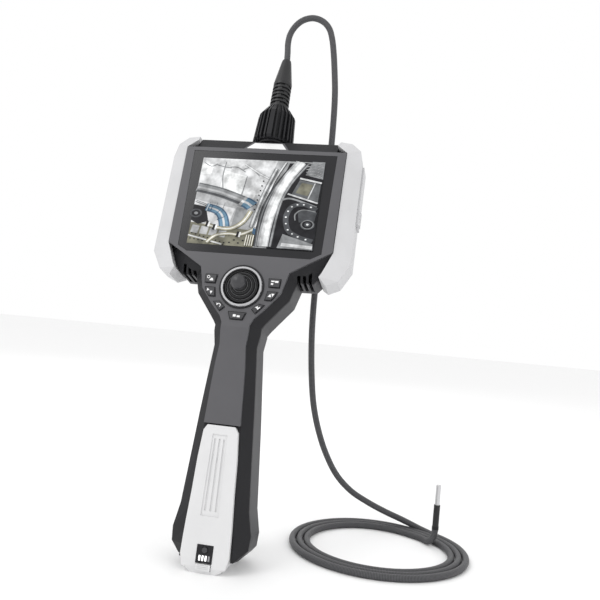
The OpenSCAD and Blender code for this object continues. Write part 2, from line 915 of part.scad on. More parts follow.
// Each vertebra rolls on the one below on two round knuckles, set crosswise from one to the next
knuckle_r = link_gap / 2 - 0.03;
knuckle_from = 1.3;
knuckle_to = 2;
module bend_link(i)
  color(bare_steel)
    at_tip(link_z0 + (i - 1) * link_pitch)
      rotate([0, 0, i % 2 == 1 ? 0 : 90]) {
        rotate_extrude()
          polygon([
            [link_bore, link_gap / 2], [link_r - 0.5, link_gap / 2], [link_r, link_gap / 2 + 0.5],
            [link_r, link_pitch - link_gap / 2 - 0.5], [link_r - 0.5, link_pitch - link_gap / 2],
            [link_bore, link_pitch - link_gap / 2]
          ]);
        for (side = [0, 180])
          rotate([0, 0, side]) {
            translate([knuckle_from, 0, 0])
              rotate([0, 90, 0]) cylinder(r = knuckle_r, h = knuckle_to - knuckle_from);
            block([knuckle_from, -0.3, 0], [knuckle_to, 0.3, link_gap / 2 + 0.2]);
          }
      }

module bend_link_1() bend_link(1);
module bend_link_2() bend_link(2);
module bend_link_3() bend_link(3);
module bend_link_4() bend_link(4);
module bend_link_5() bend_link(5);
module bend_link_6() bend_link(6);

module camera_head()
  color(bare_steel)
    at_tip(head_z0 - link_gap / 2 - 0.2)
      difference() {
        cylinder(r = tip_r, h = tip_l + 0.2 + link_gap / 2);
        translate([0, 0, tip_l - 0.8]) cylinder(r = tip_r - 0.5, h = 5);
      }

module camera_window()
  color("white")
    at_tip(head_z0 + tip_l - link_gap / 2 - 0.8) {
      cylinder(r = tip_r - 0.5, h = 0.9);
      cylinder(r = 0.8, h = 1.2);
    }

// ---- battery ----

// The foot in plan: [height, half-width, how far its front is bevelled, back edge]
foot_rings = [[0, 11, 1.4, 50], [4.4, 15.8, 0, 54], [8.4, 17, 0, 55]];
foot_corner = 6;
function foot_ring(r) = let (w = r[1], a = r[2] - 0.95 + r[0] * tan(lean), b = r[3], c = foot_corner)
  [[w - 2, a], [w, a + 2], [w, b - c], [w - c, b], [-w + c, b], [-w, b - c], [-w, a + 2], [-w + 2, a]];
module pack_foot()
  translate([0, -base_front, 0])
    loft([for (r = foot_rings) [for (p = foot_ring(r)) [p.x, p.y, r[0]]]]);

gauge_v = [7.4, 19.8];
gauge_w = 6;
latch_v = [2.6, 6.8];
latch_w = 5.4;
gauge_key_v = 16.4;
gauge_key_r = 2;
module battery_case()
  color(light_grey)
    difference() {
      union() {
        pack_foot();
        above_floor(4.4) handle_frame() slab(both(pack_half), -1, pack_d);
      }
      handle_frame() {
        // Bay for the cells, open at the back
        block([-cell_r - 0.5, 2.4, 28], [cell_r + 0.5, pack_d + 1, 96]);
        // Slots for the contacts
        for (x = [-6, -2, 2, 6])
          block([x - 0.6, 9, 99.4], [x + 0.6, 29, 110]);
        // Recess and slots of the grip
        slab([[-5.6, 97.2], [5.6, 97.2], [6.8, 39.4], [-6.8, 39.4]], -3, -0.2);
        for (x = [-3.4, 0, 3.4])
          slab([[x - 0.7, 94], [x + 0.7, 94], [x * 1.2 + 0.8, 43], [x * 1.2 - 0.8, 43]], -3, 0.6);
        // Recess of the gauge, hole of its key, hole of the latch
        block([-gauge_w - 0.1, -3, gauge_v[0] - 0.1], [gauge_w + 0.1, 0.4, gauge_v[1] + 0.1]);
        translate([0, -3, gauge_key_v]) rotate([-90, 0, 0]) cylinder(r = 2.5, h = 7);
        block([-latch_w - 0.4, -3, latch_v[0] - 0.4], [latch_w + 0.4, 7, latch_v[1] + 0.4]);
      }
    }

module battery_back()
  color(light_grey)
    handle_frame()
      block([-cell_r - 0.4, pack_d - 1, 28.1], [cell_r + 0.4, pack_d, 95.9]);

module battery_cells()
  color("steelblue")
    handle_frame()
      for (i = [0, 1])
        translate([0, 2.6 + cell_r + i * 2 * (cell_r + 0.05), 29]) {
          cylinder(r = cell_r, h = 64.6);
          cylinder(r = 3.4, h = 65.6);
        }

module battery_contacts()
  color("gold")
    handle_frame()
      for (x = [-6, -2, 2, 6])
        block([x - 0.5, 10, 99.4], [x + 0.5, 28, 103.3]);

module terminal_block()
  color(dark)
    handle_frame()
      difference() {
        union() {
          block([-8.6, 8.6, bay_top + 0.2], [8.6, 29.4, bay_top + 11]);
          block([-10.4, 7, bay_top + 6], [10.4, 31, bay_top + 8]);
        }
        for (x = [-6, -2, 2, 6])
          block([x - 0.7, 10, bay_top - 1], [x + 0.7, 28, bay_top + 3]);
      }

module battery_gauge()
  color(dark)
    handle_frame()
      difference() {
        block([-gauge_w, -1.3, gauge_v[0]], [gauge_w, 0.4, gauge_v[1]]);
        rod(0, gauge_key_v, gauge_key_r + 0.3, -2, 1);
      }

module gauge_bars()
  color("white")
    handle_frame()
      for (i = [0:3])
        block([-3.9 + i * 2.3, -1.5, 9], [-2.6 + i * 2.3, -1.3, 12.6]);

module gauge_key()
  color(dark)
    handle_frame()
      rod(0, gauge_key_v, gauge_key_r, -2, 3.2);

module battery_latch()
  color(light_grey)
    handle_frame()
      difference() {
        block([-latch_w, -2, latch_v[0]], [latch_w, 4, latch_v[1]]);
        for (i = [0:2])
          block([-4, -3, 3.5 + i * 1.2], [4, -1.6, 3.9 + i * 1.2]);
      }

front_shell();
rear_shell();
shell_gasket();
housing_screws();
face_plate();
badge_plate();
left_bumper();
right_bumper();
port_cover();
port_block();
screen_glass();
display_panel();
display_bracket();
main_board();
key_board();
joystick_collar();
joystick_bezel();
joystick_boot();
joystick_cap();
joystick_stem();
joystick_gimbal();
joystick_base();
key_top_left();
key_mid_left();
key_low_left();
key_bottom();
key_low_right();
key_mid_right();
key_top_right();
drive_frame();
drive_motors();
tilt_drum();
pan_drum();
probe_socket();
socket_oring();
probe_plug();
coupling_nut();
strain_relief();
probe_cable();
probe_coil();
probe_lead();
bend_base();
bend_link_1();
bend_link_2();
bend_link_3();
bend_link_4();
bend_link_5();
bend_link_6();
camera_head();
camera_window();
battery_case();
battery_back();
battery_cells();
battery_contacts();
terminal_block();
battery_gauge();
gauge_bars();
gauge_key();
battery_latch();
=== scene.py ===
import math

import bpy
from mathutils import Matrix, Vector
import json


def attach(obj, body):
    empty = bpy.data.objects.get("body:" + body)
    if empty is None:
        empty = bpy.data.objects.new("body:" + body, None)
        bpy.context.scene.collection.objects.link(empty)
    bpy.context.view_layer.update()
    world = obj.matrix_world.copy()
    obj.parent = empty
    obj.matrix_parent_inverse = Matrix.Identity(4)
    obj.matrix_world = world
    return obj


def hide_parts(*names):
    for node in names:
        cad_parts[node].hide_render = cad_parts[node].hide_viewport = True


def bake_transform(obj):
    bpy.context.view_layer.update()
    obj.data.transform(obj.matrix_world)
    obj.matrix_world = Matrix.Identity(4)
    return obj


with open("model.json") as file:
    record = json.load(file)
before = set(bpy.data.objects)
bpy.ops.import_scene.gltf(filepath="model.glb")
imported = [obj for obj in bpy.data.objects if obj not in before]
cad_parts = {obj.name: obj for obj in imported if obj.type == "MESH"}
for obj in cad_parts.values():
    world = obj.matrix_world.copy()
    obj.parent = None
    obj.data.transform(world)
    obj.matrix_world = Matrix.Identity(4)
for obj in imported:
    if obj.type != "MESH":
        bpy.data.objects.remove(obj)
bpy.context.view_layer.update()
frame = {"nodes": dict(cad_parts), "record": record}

MM = 0.001
NODES = frame["nodes"]

# ---- the two leaning frames of the tool: the handle's and the head's ----
LEAN, TILT = math.radians(8), math.radians(16)
FOOT_Y = -24.0
NECK_S, NECK_DROP = 176.7, 32.0
NECK_Y, NECK_Z = FOOT_Y + NECK_S * math.sin(LEAN), NECK_S * math.cos(LEAN)
J_Y, J_Z = NECK_Y + NECK_DROP * math.sin(TILT), NECK_Z + NECK_DROP * math.cos(TILT)


def head(x, v, d):
    """A point of the head: x to the right, v up the face, d behind the face, in mm."""
    return Vector((x, J_Y + v * math.sin(TILT) + d * math.cos(TILT),
                   J_Z + v * math.cos(TILT) - d * math.sin(TILT))) * MM


def hand(x, s, d):
    """A point of the handle: x to the right, s up the handle, d behind its front, in mm."""
    return Vector((x, FOOT_Y + s * math.sin(LEAN) + d * math.cos(LEAN),
                   s * math.cos(LEAN) - d * math.sin(LEAN))) * MM


# ---- camera ----
def add_camera():
    data = bpy.data.cameras.new("camera")
    data.lens, data.sensor_width = 42, 36
    cam = bpy.data.objects.new("camera", data)
    bpy.context.scene.collection.objects.link(cam)
    yaw, pitch, roll = math.radians(10.87), math.radians(-1.85), math.radians(5.13)
    look = Vector((-math.sin(yaw) * math.cos(pitch), math.cos(yaw) * math.cos(pitch), -math.sin(pitch)))
    right = look.cross(Vector((0, 0, 1))).normalized()
    up = right.cross(look)
    cx = right * math.cos(roll) + up * math.sin(roll)
    cy = up * math.cos(roll) - right * math.sin(roll)
    turn = Matrix((cx, cy, -look)).transposed().to_4x4()
    cam.matrix_world = Matrix.Translation(Vector((144.7, -504.9, 182.5)) * MM) @ turn
    bpy.context.scene.camera = cam


add_camera()
bpy.context.scene.view_settings.view_transform = "Standard"


# ---- materials ----
def material(name, colour, rough, metal=0.0, coat=0.0, glow=0.0, spec=0.5):
    mat = bpy.data.materials.new(name)
    mat.use_nodes = True
    shader = mat.node_tree.nodes["Principled BSDF"]
    shader.inputs["Base Color"].default_value = (*colour, 1)
    shader.inputs["Roughness"].default_value = rough
    shader.inputs["Metallic"].default_value = metal
    shader.inputs["Specular IOR Level"].default_value = spec
    if coat:
        shader.inputs["Coat Weight"].default_value = coat
        shader.inputs["Coat Roughness"].default_value = 0.08
    if glow:
        shader.inputs["Emission Color"].default_value = (*colour, 1)
        shader.inputs["Emission Strength"].default_value = glow
    return mat, shader


def moulded(name, colour, rough, grain=2600, bump=0.12, tint=0.1, depth=0.00006, spec=0.5):
    """Moulded plastic, rubber or paint: fine grain in the bump, slow change in the colour and the gloss."""
    mat, shader = material(name, colour, rough, spec=spec)
    tree = mat.node_tree
    place = tree.nodes.new("ShaderNodeTexCoord")
    fine = tree.nodes.new("ShaderNodeTexNoise")
    fine.inputs["Scale"].default_value = grain
    fine.inputs["Detail"].default_value = 3
    lift = tree.nodes.new("ShaderNodeBump")
    lift.inputs["Strength"].default_value = bump
    lift.inputs["Distance"].default_value = depth
    slow = tree.nodes.new("ShaderNodeTexNoise")
    slow.inputs["Scale"].default_value = 38
    slow.inputs["Detail"].default_value = 4
    ramp = tree.nodes.new("ShaderNodeValToRGB")
    ramp.color_ramp.elements[0].position, ramp.color_ramp.elements[1].position = 0.3, 0.7
    ramp.color_ramp.elements[0].color = (*[c * (1 - tint) for c in colour], 1)
    ramp.color_ramp.elements[1].color = (*[min(1, c * (1 + tint)) for c in colour], 1)
    gloss = tree.nodes.new("ShaderNodeMapRange")
    gloss.inputs["To Min"].default_value = rough * 0.85
    gloss.inputs["To Max"].default_value = min(1, rough * 1.15)
    join = tree.links.new
    join(place.outputs["Object"], fine.inputs["Vector"])
    join(place.outputs["Object"], slow.inputs["Vector"])
    join(fine.outputs["Fac"], lift.inputs["Height"])
    join(lift.outputs["Normal"], shader.inputs["Normal"])
    join(slow.outputs["Fac"], ramp.inputs["Fac"])
    join(ramp.outputs["Color"], shader.inputs["Base Color"])
    join(slow.outputs["Fac"], gloss.inputs["Value"])
    join(gloss.outputs["Result"], shader.inputs["Roughness"])
    return mat


def braided():
    """Woven mesh sleeve: two families of strands that cross, drawn in the tube's own coordinates."""
    mat, shader = material("braided_sleeve", (0.03, 0.03, 0.034), 0.5)
    tree = mat.node_tree
    uv = tree.nodes.new("ShaderNodeUVMap")
    uv.uv_map = "weave"
    part = tree.nodes.new("ShaderNodeSeparateXYZ")
    tree.links.new(uv.outputs["UV"], part.inputs["Vector"])

    def calc(kind, a, b=None):
        n = tree.nodes.new("ShaderNodeMath")
        n.operation = kind
        for i, x in enumerate((a, b)):
            if isinstance(x, (int, float)):
                n.inputs[i].default_value = x
            elif x is not None:
                tree.links.new(x, n.inputs[i])
        return n.outputs[0]

    u, v = part.outputs["X"], part.outputs["Y"]
    a = calc("SINE", calc("MULTIPLY", calc("ADD", u, v), 2 * math.pi))
    b = calc("SINE", calc("MULTIPLY", calc("SUBTRACT", u, v), 2 * math.pi))
    weave = calc("MULTIPLY", calc("ADD", calc("MULTIPLY", a, b), 1.0), 0.5)
    # The colour follows the weave's height: painted shade in the low parts between the strands, a painted
    # sheen on the strand tops.
    ramp = tree.nodes.new("ShaderNodeValToRGB")
    ramp.color_ramp.elements[0].position, ramp.color_ramp.elements[1].position = 0.2, 0.85
    ramp.color_ramp.elements[0].color = (0.012, 0.012, 0.014, 1)
    ramp.color_ramp.elements[1].color = (0.115, 0.115, 0.122, 1)
    lift = tree.nodes.new("ShaderNodeBump")
    lift.inputs["Strength"].default_value = 0.7
    lift.inputs["Distance"].default_value = 0.0004
    tree.links.new(weave, ramp.inputs["Fac"])
    tree.links.new(ramp.outputs["Color"], shader.inputs["Base Color"])
    tree.links.new(weave, lift.inputs["Height"])
    tree.links.new(lift.outputs["Normal"], shader.inputs["Normal"])
    return mat


def brushed(name, colour, rough, grain=(30, 30, 2500)):
    """Metal with fine turning or brushing lines."""
    mat, shader = material(name, colour, rough, 1.0)
    tree = mat.node_tree
    place = tree.nodes.new("ShaderNodeTexCoord")
    stretch = tree.nodes.new("ShaderNodeMapping")
    stretch.inputs["Scale"].default_value = grain
    lines = tree.nodes.new("ShaderNodeTexNoise")
    lines.inputs["Scale"].default_value = 1
    lines.inputs["Detail"].default_value = 2
    lift = tree.nodes.new("ShaderNodeBump")
    lift.inputs["Strength"].default_value = 0.2
    lift.inputs["Distance"].default_value = 0.00004
    gloss = tree.nodes.new("ShaderNodeMapRange")
    gloss.inputs["To Min"].default_value = rough * 0.7
    gloss.inputs["To Max"].default_value = rough * 1.4
    tree.links.new(place.outputs["Object"], stretch.inputs["Vector"])
    tree.links.new(stretch.outputs["Vector"], lines.inputs["Vector"])
    tree.links.new(lines.outputs["Fac"], lift.inputs["Height"])
    tree.links.new(lift.outputs["Normal"], shader.inputs["Normal"])
    tree.links.new(lines.outputs["Fac"], gloss.inputs["Value"])
    tree.links.new(gloss.outputs["Result"], shader.inputs["Roughness"])
    return mat


MATS = {
    "black_plastic": moulded("black_plastic", (0.017, 0.017, 0.019), 0.48, spec=0.2),
    "graphite_plastic": moulded("graphite_plastic", (0.094, 0.093, 0.1), 0.42, 3200, 0.07, 0.05, spec=0.4),
    "rear_grip": moulded("rear_grip", (0.05, 0.05, 0.054), 0.5, 1700, 0.3, depth=0.00012, spec=0.35),
    "light_rubber": moulded("light_rubber", (0.6, 0.6, 0.61), 0.55, 2200, 0.14, 0.04, spec=0.3),
    "pack_plastic": moulded("pack_plastic", (0.7, 0.7, 0.705), 0.45, 2600, 0.1, 0.03, spec=0.3),
    "white_plastic": moulded("white_plastic", (0.88, 0.88, 0.88), 0.3, 3000, 0.03, 0.02),
    "screen_glass": moulded("screen_glass", (0.012, 0.012, 0.014), 0.16, 400, 0.01, 0.1, spec=0.35),
    "display": moulded("display", (0.2, 0.21, 0.22), 0.4),
    "board": moulded("board", (0.02, 0.13, 0.05), 0.4, 900, 0.2, 0.25),
    "steel": brushed("steel", (0.6, 0.6, 0.61), 0.3),
    "chrome_ring": brushed("chrome_ring", (0.46, 0.46, 0.47), 0.24),
    "black_rubber": moulded("black_rubber", (0.012, 0.012, 0.013), 0.42, 1900, 0.2, spec=0.45),
    "key_plastic": moulded("key_plastic", (0.03, 0.03, 0.034), 0.3, 2600, 0.1, spec=0.6),
    "braid": braided(),
    "contact_metal": brushed("contact_metal", (0.85, 0.62, 0.25), 0.25),
    "cell_wrap": moulded("cell_wrap", (0.06, 0.18, 0.42), 0.3, 600, 0.05),
    "lit_white": moulded("lit_white", (0.9, 0.9, 0.9), 0.25, 3000, 0.02, 0.02),
}
for row in frame["record"]["subparts"]:
    mesh = NODES[row["node"]].data
    mesh.materials.clear()
    mesh.materials.append(MATS[row["material_slot"]])

# Rounded edges on the moulded parts, widths in mm
ROUNDED = {
    "front_shell": 0.5, "rear_shell": 0.6, "face_plate": 0.45, "left_bumper": 2.2, "right_bumper": 0.8,
    "port_cover": 0.45, "battery_case": 0.6, "badge_plate": 0.12, "screen_glass": 0.25,
    "battery_gauge": 0.15, "battery_latch": 0.25, "coupling_nut": 0.25, "strain_relief": 0.2,
    "joystick_cap": 0.2, "joystick_bezel": 0.15, "gauge_key": 0.2, "probe_plug": 0.3, "camera_head": 0.15,
}
ROUNDED.update({n: 0.35 for n in NODES if n.startswith("key_") and n != "key_board"})
for name, width in ROUNDED.items():
    edge = NODES[name].modifiers.new("edges", "BEVEL")
    edge.width = width * MM
    edge.segments = 3 if width > 1 else 2
    edge.limit_method = "ANGLE"
    edge.angle_limit = math.radians(28)
    edge.use_clamp_overlap = True
    edge.harden_normals = False


# ---- pieces ----
def piece(name, points, faces, mats, body, smooth=False, marks=None):
    """A mesh that rides on a body; marks gives each face's material."""
    mesh = bpy.data.meshes.new(name)
    mesh.from_pydata([tuple(p) for p in points], [], faces)
    for m in mats:
        mesh.materials.append(m)
    for i, face in enumerate(mesh.polygons):
        face.use_smooth = smooth
        if marks:
            face.material_index = marks[i]
    mesh.validate()
    mesh.update()
    obj = bpy.data.objects.new(name, mesh)
    bpy.context.scene.collection.objects.link(obj)
    if body:
        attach(obj, body)
    return obj


class Inlay:
    """Thin closed prisms collected into one piece, laid on a face at shallow heights."""

    def __init__(self, place):
        self.place, self.points, self.faces, self.marks = place, [], [], []

    def prism(self, outline, low, high, mark=0):
        n, k = len(outline), len(self.points)
        area = sum(outline[i - 1][0] * outline[i][1] - outline[i][0] * outline[i - 1][1] for i in range(n))
        if area > 0:
            outline = outline[::-1]
        self.points += [self.place(x, v, d) for d in (high, low) for x, v in outline]
        self.faces += [list(range(k + n - 1, k - 1, -1)), list(range(k + n, k + 2 * n))]
        self.faces += [[k + i, k + (i + 1) % n, k + n + (i + 1) % n, k + n + i] for i in range(n)]
        self.marks += [mark] * (n + 2)

    def ribbon(self, line, width, low, high, mark=0):
        """A band along a line of points, as one prism."""
        edge = []
        for i, p in enumerate(line):
            a, b = line[max(i - 1, 0)], line[min(i + 1, len(line) - 1)]
            dx, dy = b[0] - a[0], b[1] - a[1]
            size = math.hypot(dx, dy)
            w = (width[i] if isinstance(width, list) else width) / 2
            edge.append(((p[0] - dy / size * w, p[1] + dx / size * w),
                         (p[0] + dy / size * w, p[1] - dx / size * w)))
        self.prism([e[0] for e in edge] + [e[1] for e in edge[::-1]], low, high, mark)

    def disc(self, x, v, r, low, high, mark=0, n=24):
        self.prism([(x + r * math.cos(2 * math.pi * i / n), v + r * math.sin(2 * math.pi * i / n))
                    for i in range(n)], low, high, mark)

    def make(self, name, mats, body):
        return piece(name, self.points, self.faces, mats, body, marks=self.marks)


def curve(points, steps=8):
    """A smooth line through the points."""
    out = []
    last = len(points) - 1
    for i in range(last):
        a, b, c, d = (points[j] for j in (max(i - 1, 0), i, i + 1, min(i + 2, last)))
        for k in range(steps):
            t = k / steps
            out.append(tuple(
                0.5 * (2 * q + (r - p) * t + (2 * p - 5 * q + 4 * r - s) * t * t
                       + (3 * q - p - 3 * r + s) * t ** 3)
                for p, q, r, s in zip(a, b, c, d)))
    return out + [tuple(points[-1])]


# ---- the probe cable: one braided cord from the plug's boot to the tip ----
CABLE_R = 2.7
EXIT = (0, 88.71, 409.74)
ROUTE = [
    (-1, 92, 420), (-2, 94.5, 429), (-1.5, 97, 438), (2, 99, 446.5), (8.5, 100.5, 453),
    (17.5, 101.5, 455.5), (26.5, 101.5, 452.5), (33, 100.5, 445.5), (36.5, 99.5, 436),
    (39, 98.5, 424), (41.5, 97.5, 407), (44, 96, 385), (45, 95, 360),
    (45, 95, 330), (44, 95, 290), (43, 95, 250), (42, 95, 214), (42, 96, 185), (43, 98, 160),
    (45, 101, 135), (48, 105, 112), (53, 112, 90), (60, 121, 69), (70, 131, 49), (83, 141, 34),
    (98, 149, 24), (115, 154, 16), (132, 156, 10), (148, 153, 5),
]
COIL_X, COIL_Y, COIL_R, COIL_PITCH, JOIN = 115, 90, 71.7, 6.0, 47
LEAD = [(146.5, 134, 2.75), (151, 130, 2.75), (154.5, 125.5, 3), (157, 121, 4.5), (159, 117.5, 7.5),
        (160.4, 115, 11.8), (161, 114, 17)]
TIP_X, TIP_Y, TIP_Z, LINK_PITCH = 161, 114, 20, 2.9


def coil_radius(turned):
    """Three turns beside each other: each steps inward over its last part."""
    whole, part = divmod(turned, 360)
    step = min(max((part - 285) / 75, 0), 1)
    return COIL_R - COIL_PITCH * (whole + step * step * (3 - 2 * step))


def cable_line():
    line = curve([EXIT] + ROUTE, 6)
    for turned in range(0, 1067, 6):
        a, r = math.radians(JOIN - turned), coil_radius(turned)
        line.append((COIL_X + r * math.cos(a), COIL_Y + r * math.sin(a), CABLE_R))
    return line + curve([line[-1]] + LEAD, 6)[1:]


def tube(name, line, r, sides, pitch):
    """A round tube with weave coordinates that count strands round it and along it."""
    pts = [Vector(p) for p in line]
    side = Vector((1, 0, 0))
    rings, dist, total = [], [0.0], 0.0
    for i, p in enumerate(pts):
        along = (pts[min(i + 1, len(pts) - 1)] - pts[max(i - 1, 0)]).normalized()
        side = (side - along * side.dot(along)).normalized()
        out = along.cross(side)
        rings.append([(p + r * (side * math.cos(2 * math.pi * k / sides)
                                + out * math.sin(2 * math.pi * k / sides))) * MM for k in range(sides)])
        if i:
            total += (p - pts[i - 1]).length
            dist.append(total)
    faces, spots = [], []
    strands = 10
    for i in range(len(pts) - 1):
        for k in range(sides):
            m = (k + 1) % sides
            faces.append([i * sides + k, i * sides + m, (i + 1) * sides + m, (i + 1) * sides + k])
            u0, u1 = strands * k / sides, strands * (k + 1) / sides
            v0, v1 = dist[i] / pitch, dist[i + 1] / pitch
            spots += [(u0, v0), (u1, v0), (u1, v1), (u0, v1)]
    end = (len(pts) - 1) * sides
    faces += [list(range(sides - 1, -1, -1)), list(range(end, end + sides))]
    spots += [(0, 0)] * (2 * sides)
    obj = piece(name, [q for ring in rings for q in ring], faces, [MATS["braid"]], "housing", True)
    layer = obj.data.uv_layers.new(name="weave")
    for i, spot in enumerate(spots):
        layer.data[i].uv = spot
    return obj


line = cable_line()
cable = tube("cable_braided", line, CABLE_R, 20, 2.2)
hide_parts("probe_cable", "probe_coil", "probe_lead")


def tip_sleeve():
    """The black sleeve over the bending tip, a short length across each vertebra's hinge."""
    made = []
    sides, r = 20, 2.66
    for i in range(6):
        hinge = TIP_Z + i * LINK_PITCH
        low = TIP_Z - 3.2 if i == 0 else hinge - LINK_PITCH / 2
        high = hinge + (LINK_PITCH / 2 if i < 5 else LINK_PITCH + 0.2)
        points, faces, n = [], [], 6
        for ring in range(n + 1):
            z = low + (high - low) * ring / n
            wave = 0.05 * math.sin(math.pi * ring)
            for k in range(sides):
                a = 2 * math.pi * k / sides
                x, y = TIP_X + (r + wave) * math.cos(a), TIP_Y + (r + wave) * math.sin(a)
                points.append(Vector((x, y, z)) * MM)
        for ring in range(n):
            for k in range(sides):
                m = (k + 1) % sides
                faces.append([ring * sides + k, ring * sides + m,
                              (ring + 1) * sides + m, (ring + 1) * sides + k])
        obj = piece(f"tip_sleeve_{i + 1}", points, faces, [MATS["black_rubber"]],
                    None, True)
        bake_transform(obj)
        made.append(obj)
    return made


sleeves = tip_sleeve()


# ---- joystick bellows: a lower and an upper half, split at the middle of the profile ----
def bellows():
    outer_r, span_r, waves, lag = 13.4, 10.3, 4, 1.1
    profile = [(13.55, 1.5)]
    n = 56
    for i in range(n + 1):
        t = i / n
        ripple = 0.95 * math.sin(2 * math.pi * waves * t - lag)
        profile.append((outer_r - span_r * t, -0.4 - 7.2 * t - ripple * (1 - 0.35 * t)))
    profile.append((3.0, -8.1))
    # The hollows between the ripples get a lighter rubber: a painted highlight on the bellows rings.
    painted_highlight, _ = material("rubber_painted_highlight", (0.13, 0.13, 0.135), 0.35)

    def hollow(r):
        """True in the hollow between two ripples, which gets a lighter rubber as a painted highlight on the
        rings.
        """
        return math.sin(2 * math.pi * waves * (outer_r - r) / span_r - lag) < -0.72

    middle = len(profile) // 2
    d_mid = profile[middle][1]
    for name, rows, a, b, start, end in (
            ("bellows_low", profile[:middle + 1], "housing", "joystick_ring", 1.0, d_mid),
            ("bellows_high", profile[middle:], "joystick_ring", "joystick", d_mid, -8.1)):
        sides = 64
        points = [head(r * math.cos(2 * math.pi * k / sides), r * math.sin(2 * math.pi * k / sides), d)
                  for r, d in rows for k in range(sides)]
        faces = [[i * sides + k, (i + 1) * sides + k,
                  (i + 1) * sides + (k + 1) % sides, i * sides + (k + 1) % sides]
                 for i in range(len(rows) - 1) for k in range(sides)]
        marks = [1 if hollow(rows[i][0]) and hollow(rows[i + 1][0]) else 0
                 for i in range(len(rows) - 1) for _ in range(sides)]
        obj = piece(name, points, faces, [MATS["black_rubber"], painted_highlight],
                    None, True, marks=marks)
        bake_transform(obj)
        if name == "bellows_low":
            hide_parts("joystick_boot")


bellows()

# ---- the picture on the screen: generic pipes and machinery ----
SCREEN_V, SCREEN_W, SCREEN_H = 71.1, 101.6, 76.2


def picture():
    shades = [
        ("pale", (0.5, 0.505, 0.51)), ("panel", (0.32, 0.325, 0.33)), ("grey", (0.11, 0.115, 0.12)),
        ("dark", (0.012, 0.012, 0.014)), ("blue", (0.11, 0.2, 0.28)), ("cream", (0.36, 0.34, 0.26)),
        ("bright", (0.66, 0.67, 0.67)), ("olive", (0.15, 0.145, 0.11)), ("slate", (0.06, 0.063, 0.068)),
        ("deep_blue", (0.045, 0.09, 0.15)), ("shade", (0.2, 0.205, 0.21)),
    ]
    mats, index = [], {}
    for name, colour in shades:
        mat, shader = material("picture_" + name, colour, 0.3, glow=0.3, spec=0.15)
        tree = mat.node_tree
        place, cloud = tree.nodes.new("ShaderNodeTexCoord"), tree.nodes.new("ShaderNodeTexNoise")
        cloud.inputs["Scale"].default_value = 130
        cloud.inputs["Detail"].default_value = 5
        ramp = tree.nodes.new("ShaderNodeValToRGB")
        ramp.color_ramp.elements[0].position, ramp.color_ramp.elements[1].position = 0.34, 0.66
        ramp.color_ramp.elements[0].color = (*[c * 0.6 for c in colour], 1)
        ramp.color_ramp.elements[1].color = (*[min(1, c * 1.3) for c in colour], 1)
        tree.links.new(place.outputs["Object"], cloud.inputs["Vector"])
        tree.links.new(cloud.outputs["Fac"], ramp.inputs["Fac"])
        tree.links.new(ramp.outputs["Color"], shader.inputs["Base Color"])
        tree.links.new(ramp.outputs["Color"], shader.inputs["Emission Color"])
        index[name] = len(mats)
        mats.append(mat)

    def place(s, t, d):
        return head((s - 0.5) * SCREEN_W, SCREEN_V + (0.5 - t) * SCREEN_H, d)

    art = Inlay(place)
    base = 0.31
    level = [0.29]

    def up():
        level[0] -= 0.008
        return level[0]

    def area(pts, shade):
        art.prism(pts, base, up(), index[shade])

    def band(pts, width, shade, steps=8):
        art.ribbon(curve(pts, steps), width, base, up(), index[shade])

    def pipe(pts, width, edge, body, shine):
        """A round pipe: a dark edge, its body and a bright line along it."""
        for part, shade in ((1.0, edge), (0.74, body), (0.2, shine)):
            band(pts, width * part, shade)

    area([(0, 0), (1, 0), (1, 1), (0, 1)], "panel")
    area([(0.0, 0.0), (0.62, 0), (0.53, 0.42), (0, 0.3)], "pale")
    area([(0.0, 0.06), (0.1, 0.08), (0.09, 0.2), (0, 0.19)], "bright")
    area([(0.2, 0.14), (0.39, 0.2), (0.36, 0.44), (0.18, 0.36)], "bright")
    area([(0.4, 0.24), (0.5, 0.27), (0.47, 0.5), (0.37, 0.47)], "pale")
    for k in range(4):
        seam = [(0.02 + k * 0.11, 0.06 + k * 0.02), (0.08 + k * 0.11, 0.1),
                (0.13 + k * 0.12, 0.07 + k * 0.04)]
        band(seam, 0.01, "shade")
    band([(0.2, 0.04), (0.19, 0.2), (0.21, 0.36)], 0.008, "shade")
    band([(0.39, 0.2), (0.37, 0.46)], 0.007, "shade")
    pipe([(0.36, 0.06), (0.5, 0.17), (0.58, 0.22)], 0.022, "shade", "pale", "bright")
    area([(0, 0.5), (0.34, 0.58), (0.3, 0.82), (0, 0.78)], "pale")
    for k in range(3):
        band([(0.13 + k * 0.06, 0.52), (0.12 + k * 0.06, 0.6)], 0.006, "shade")
    area([(0.35, 0.56), (0.44, 0.58), (0.41, 0.76), (0.33, 0.8)], "shade")
    area([(0, 0.76), (0.3, 0.8), (0.55, 0.82), (0.53, 1), (0, 1)], "olive")
    for k in range(4):
        area([(0.02 + k * 0.075, 0.79 + k * 0.01), (0.08 + k * 0.075, 0.8 + k * 0.01),
              (0.07 + k * 0.075, 0.885 + k * 0.01), (0.01 + k * 0.075, 0.875 + k * 0.01)], "panel")
    for k in range(9):
        art.disc(0.025 + k * 0.034, 0.885 + k * 0.011, 0.0075, base, up(), index["dark"], 8)
        art.disc(0.02 + k * 0.034, 0.945 + k * 0.006, 0.007, base, up(), index["dark"], 8)
    band([(0, 0.91), (0.14, 0.95), (0.28, 0.99)], 0.014, "pale")
    for k in range(5):
        art.disc(0.34 + k * 0.035, 0.965 - (k % 2) * 0.03, 0.008, base, up(), index["dark"], 8)
    # The grey pipe with its blue coupling
    pipe([(0, 0.355), (0.2, 0.405), (0.43, 0.505)], 0.105, "grey", "shade", "panel")
    band([(0, 0.395), (0.2, 0.445), (0.41, 0.535)], 0.022, "slate")
    pipe([(0.38, 0.49), (0.405, 0.503)], 0.12, "shade", "panel", "bright")
    pipe([(0.405, 0.5), (0.435, 0.515), (0.47, 0.545)], 0.115, "deep_blue", "blue", "pale")
